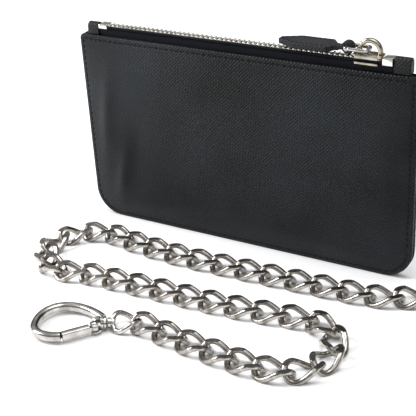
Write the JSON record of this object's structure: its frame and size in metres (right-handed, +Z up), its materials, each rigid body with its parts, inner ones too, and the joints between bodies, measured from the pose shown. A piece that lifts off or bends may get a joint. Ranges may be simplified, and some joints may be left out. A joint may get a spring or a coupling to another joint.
{
  "type": "chain wallet",
  "caption": "Slim upright zipped leather pouch with a leather zip strap, and a curb chain from a D-ring at its side to a swivel snap hook.",
  "frame": {"origin": "middle of the pouch's bottom edge, where it stands on the table", "axes": "+X along the pouch's width towards the chain's D-ring, -Y out of its front, +Z up"},
  "size_m": [0.2147, 0.1267, 0.1163],
  "materials": {
    "leather": "finely grained black leather, semi-matt",
    "lining_cloth": "plain dark woven lining",
    "zip_tape": "woven zip tape, matt",
    "zip_metal": "bright plated zip metal",
    "nickel": "polished nickel plate",
    "satin_nickel": "satin nickel plate"
  },
  "bodies": {
    "pouch": {"front_panel": "leather", "back_panel": "leather", "lining": "lining_cloth", "zip_tape_front": "zip_tape", "zip_tape_back": "zip_tape", "zip_teeth_front": "zip_metal", "zip_teeth_back": "zip_metal", "zip_top_stop": "zip_metal", "zip_bottom_stop": "zip_metal", "end_tab_left": "leather", "end_tab_right": "leather", "side_tab": "leather"},
    "slider": {"zip_slider": "nickel"},
    "pull_link": {"pull_link": "nickel"},
    "strap": {"leather_pull": "leather"},
    "d_ring": {"d_ring": "nickel"},
    "chain_drop": {"chain_drop": "nickel"},
    "link_01": {"chain_link_01": "nickel"},
    "link_02": {"chain_link_02": "nickel"},
    "link_03": {"chain_link_03": "nickel"},
    "link_04": {"chain_link_04": "nickel"},
    "link_05": {"chain_link_05": "nickel"},
    "link_06": {"chain_link_06": "nickel"},
    "link_07": {"chain_link_07": "nickel"},
    "link_08": {"chain_link_08": "nickel"},
    "link_09": {"chain_link_09": "nickel"},
    "link_10": {"chain_link_10": "nickel"},
    "link_11": {"chain_link_11": "nickel"},
    "link_12": {"chain_link_12": "nickel"},
    "link_13": {"chain_link_13": "nickel"},
    "link_14": {"chain_link_14": "nickel"},
    "link_15": {"chain_link_15": "nickel"},
    "link_16": {"chain_link_16": "nickel"},
    "link_17": {"chain_link_17": "nickel"},
    "link_18": {"chain_link_18": "nickel"},
    "link_19": {"chain_link_19": "nickel"},
    "link_20": {"chain_link_20": "nickel"},
    "link_21": {"chain_link_21": "nickel"},
    "link_22": {"chain_link_22": "nickel"},
    "link_23": {"chain_link_23": "nickel"},
    "link_24": {"chain_link_24": "nickel"},
    "link_25": {"chain_link_25": "nickel"},
    "link_26": {"chain_link_26": "nickel"},
    "link_27": {"chain_link_27": "nickel"},
    "link_28": {"chain_link_28": "nickel"},
    "link_29": {"chain_link_29": "nickel"},
    "link_30": {"chain_link_30": "nickel"},
    "link_31": {"chain_link_31": "nickel"},
    "link_32": {"chain_link_32": "nickel"},
    "link_33": {"chain_link_33": "nickel"},
    "link_34": {"chain_link_34": "nickel"},
    "link_35": {"chain_link_35": "nickel"},
    "link_36": {"chain_link_36": "nickel"},
    "link_37": {"chain_link_37": "nickel"},
    "link_38": {"chain_link_38": "nickel"},
    "swivel_eye": {"swivel_eye": "nickel"},
    "hook": {"hook_body": "nickel", "gate_pin": "nickel"},
    "gate": {"hook_gate": "satin_nickel"}
  },
  "joints": [
    {"name": "slider_slide", "type": "slide", "parent": "pouch", "child": "slider", "axis": [-1, 0, 0], "range_m": [0, 0.131]},
    {"name": "pull_link_hinge", "type": "hinge", "parent": "slider", "child": "pull_link", "pos_m": [0.066, 0, 0.1112], "axis": [0, 1, 0], "range_deg": [0, 90]},
    {"name": "strap_hinge", "type": "hinge", "parent": "pull_link", "child": "strap", "pos_m": [0.0562, 0, 0.1112], "axis": [0, 1, 0], "range_deg": [0, 90]},
    {"name": "d_ring_hinge", "type": "hinge", "parent": "pouch", "child": "d_ring", "pos_m": [0.093, 0, 0.08601], "axis": [0, 0, 1], "range_deg": [0, 60]},
    {"name": "drop_hinge", "type": "hinge", "parent": "d_ring", "child": "chain_drop", "pos_m": [0.10018, -0.00128, 0.08052], "axis": [-0.9203, 0.1645, -0.355], "range_deg": [0, 15]},
    {"name": "link_01_hinge", "type": "hinge", "parent": "chain_drop", "child": "link_01", "pos_m": [0.1032, -0.0167, 0.0031], "axis": [0.5, -0.866, 0], "range_deg": [-6, 6]},
    {"name": "link_02_hinge", "type": "hinge", "parent": "link_01", "child": "link_02", "pos_m": [0.09179, -0.02329, 0.0031], "axis": [-0.3963, 0.9181, 0], "range_deg": [-12, 12]},
    {"name": "link_03_hinge", "type": "hinge", "parent": "link_02", "child": "link_03", "pos_m": [0.07918, -0.02707, 0.0031], "axis": [0.1745, -0.9847, 0], "range_deg": [-12, 12]},
    {"name": "link_04_hinge", "type": "hinge", "parent": "link_03", "child": "link_04", "pos_m": [0.06603, -0.02785, 0.0031], "axis": [-0.0576, 0.9983, 0], "range_deg": [-15, 15]},
    {"name": "link_05_hinge", "type": "hinge", "parent": "link_04", "child": "link_05", "pos_m": [0.05288, -0.02859, 0.0031], "axis": [0.0541, -0.9985, 0], "range_deg": [-15, 15]},
    {"name": "link_06_hinge", "type": "hinge", "parent": "link_05", "child": "link_06", "pos_m": [0.03973, -0.02927, 0.0031], "axis": [-0.0506, 0.9987, 0], "range_deg": [-15, 15]},
    {"name": "link_07_hinge", "type": "hinge", "parent": "link_06", "child": "link_07", "pos_m": [0.02658, -0.02992, 0.0031], "axis": [0.0471, -0.9989, 0], "range_deg": [-15, 15]},
    {"name": "link_08_hinge", "type": "hinge", "parent": "link_07", "child": "link_08", "pos_m": [0.01342, -0.03052, 0.0031], "axis": [-0.0436, 0.999, 0], "range_deg": [-15, 15]},
    {"name": "link_09_hinge", "type": "hinge", "parent": "link_08", "child": "link_09", "pos_m": [0.00026, -0.03107, 0.0031], "axis": [0.0401, -0.9992, 0], "range_deg": [-15, 15]},
    {"name": "link_10_hinge", "type": "hinge", "parent": "link_09", "child": "link_10", "pos_m": [-0.0129, -0.03157, 0.0031], "axis": [-0.0122, 0.9999, 0], "range_deg": [-15, 15]},
    {"name": "link_11_hinge", "type": "hinge", "parent": "link_10", "child": "link_11", "pos_m": [-0.02607, -0.03139, 0.0031], "axis": [-0.0401, -0.9992, 0], "range_deg": [-15, 15]},
    {"name": "link_12_hinge", "type": "hinge", "parent": "link_11", "child": "link_12", "pos_m": [-0.03921, -0.03052, 0.0031], "axis": [0.0924, 0.9957, 0], "range_deg": [-15, 15]},
    {"name": "link_13_hinge", "type": "hinge", "parent": "link_12", "child": "link_13", "pos_m": [-0.05228, -0.02896, 0.0031], "axis": [-0.1444, -0.9895, 0], "range_deg": [-15, 15]},
    {"name": "link_14_hinge", "type": "hinge", "parent": "link_13", "child": "link_14", "pos_m": [-0.06526, -0.02671, 0.0031], "axis": [-0.0532, 0.9986, 0], "range_deg": [-6, 6]},
    {"name": "link_15_hinge", "type": "hinge", "parent": "link_14", "child": "link_15", "pos_m": [-0.07793, -0.03032, 0.0031], "axis": [0.5577, -0.83, 0], "range_deg": [-6, 6]},
    {"name": "link_16_hinge", "type": "hinge", "parent": "link_15", "child": "link_16", "pos_m": [-0.08606, -0.04069, 0.0031], "axis": [-0.9391, 0.3437, 0], "range_deg": [-6, 6]},
    {"name": "link_17_hinge", "type": "hinge", "parent": "link_16", "child": "link_17", "pos_m": [-0.08654, -0.05385, 0.0031], "axis": [0.9617, 0.274, 0], "range_deg": [-6, 6]},
    {"name": "link_18_hinge", "type": "hinge", "parent": "link_17", "child": "link_18", "pos_m": [-0.07919, -0.06478, 0.0031], "axis": [-0.617, -0.7869, 0], "range_deg": [-6, 6]},
    {"name": "link_19_hinge", "type": "hinge", "parent": "link_18", "child": "link_19", "pos_m": [-0.06682, -0.06931, 0.0031], "axis": [0.0366, 0.9993, 0], "range_deg": [-6, 6]},
    {"name": "link_20_hinge", "type": "hinge", "parent": "link_19", "child": "link_20", "pos_m": [-0.05416, -0.0657, 0.0031], "axis": [0.1702, -0.9854, 0], "range_deg": [-12, 12]},
    {"name": "link_21_hinge", "type": "hinge", "parent": "link_20", "child": "link_21", "pos_m": [-0.04102, -0.06485, 0.0031], "axis": [-0.0602, 0.9982, 0], "range_deg": [-15, 15]},
    {"name": "link_22_hinge", "type": "hinge", "parent": "link_21", "child": "link_22", "pos_m": [-0.02787, -0.06411, 0.0031], "axis": [0.0515, -0.9987, 0], "range_deg": [-15, 15]},
    {"name": "link_23_hinge", "type": "hinge", "parent": "link_22", "child": "link_23", "pos_m": [-0.01471, -0.06349, 0.0031], "axis": [-0.0427, 0.9991, 0], "range_deg": [-15, 15]},
    {"name": "link_24_hinge", "type": "hinge", "parent": "link_23", "child": "link_24", "pos_m": [-0.00155, -0.06299, 0.0031], "axis": [0.034, -0.9994, 0], "range_deg": [-15, 15]},
    {"name": "link_25_hinge", "type": "hinge", "parent": "link_24", "child": "link_25", "pos_m": [0.01161, -0.0626, 0.0031], "axis": [-0.0497, 0.9988, 0], "range_deg": [-15, 15]},
    {"name": "link_26_hinge", "type": "hinge", "parent": "link_25", "child": "link_26", "pos_m": [0.02475, -0.06168, 0.0031], "axis": [0.0898, -0.996, 0], "range_deg": [-15, 15]},
    {"name": "link_27_hinge", "type": "hinge", "parent": "link_26", "child": "link_27", "pos_m": [0.03784, -0.06023, 0.0031], "axis": [-0.1297, 0.9916, 0], "range_deg": [-15, 15]},
    {"name": "link_28_hinge", "type": "hinge", "parent": "link_27", "child": "link_28", "pos_m": [0.05086, -0.05826, 0.0031], "axis": [0.1642, -0.9864, 0], "range_deg": [-15, 15]},
    {"name": "link_29_hinge", "type": "hinge", "parent": "link_28", "child": "link_29", "pos_m": [0.06382, -0.05591, 0.0031], "axis": [0.134, 0.991, 0], "range_deg": [-6, 6]},
    {"name": "link_30_hinge", "type": "hinge", "parent": "link_29", "child": "link_30", "pos_m": [0.07569, -0.06162, 0.0031], "axis": [-0.6909, -0.723, 0], "range_deg": [-6, 6]},
    {"name": "link_31_hinge", "type": "hinge", "parent": "link_30", "child": "link_31", "pos_m": [0.08193, -0.07322, 0.0031], "axis": [0.9839, 0.1788, 0], "range_deg": [-6, 6]},
    {"name": "link_32_hinge", "type": "hinge", "parent": "link_31", "child": "link_32", "pos_m": [0.08017, -0.08627, 0.0031], "axis": [-0.9011, 0.4337, 0], "range_deg": [-6, 6]},
    {"name": "link_33_hinge", "type": "hinge", "parent": "link_32", "child": "link_33", "pos_m": [0.07107, -0.09579, 0.0031], "axis": [0.4741, -0.8805, 0], "range_deg": [-6, 6]},
    {"name": "link_34_hinge", "type": "hinge", "parent": "link_33", "child": "link_34", "pos_m": [0.05811, -0.09814, 0.0031], "axis": [-0.0576, 0.9983, 0], "range_deg": [-12, 12]},
    {"name": "link_35_hinge", "type": "hinge", "parent": "link_34", "child": "link_35", "pos_m": [0.04497, -0.09729, 0.0031], "axis": [-0.0767, -0.9971, 0], "range_deg": [-15, 15]},
    {"name": "link_36_hinge", "type": "hinge", "parent": "link_35", "child": "link_36", "pos_m": [0.03185, -0.09612, 0.0031], "axis": [0.1011, 0.9949, 0], "range_deg": [-15, 15]},
    {"name": "link_37_hinge", "type": "hinge", "parent": "link_36", "child": "link_37", "pos_m": [0.01877, -0.09463, 0.0031], "axis": [-0.1253, -0.9921, 0], "range_deg": [-15, 15]},
    {"name": "link_38_hinge", "type": "hinge", "parent": "link_37", "child": "link_38", "pos_m": [0.00572, -0.09282, 0.0031], "axis": [0.1495, 0.9888, 0], "range_deg": [-15, 15]},
    {"name": "eye_hinge", "type": "hinge", "parent": "link_38", "child": "swivel_eye", "pos_m": [-0.00728, -0.09069, 0.0032], "axis": [0.1797, -0.9837, 0], "range_deg": [-8, 8]},
    {"name": "hook_swivel", "type": "hinge", "parent": "swivel_eye", "child": "hook", "pos_m": [-0.01892, -0.09742, 0.0032], "axis": [-0.866, -0.5, 0], "continuous": true},
    {"name": "gate_hinge", "type": "hinge", "parent": "hook", "child": "gate", "pos_m": [-0.02173, -0.10296, 0.0032], "axis": [0, 0, -1], "range_deg": [0, 25], "stiffness_Nm_per_rad": 0.01, "springref_deg": -11.46}
  ]
}
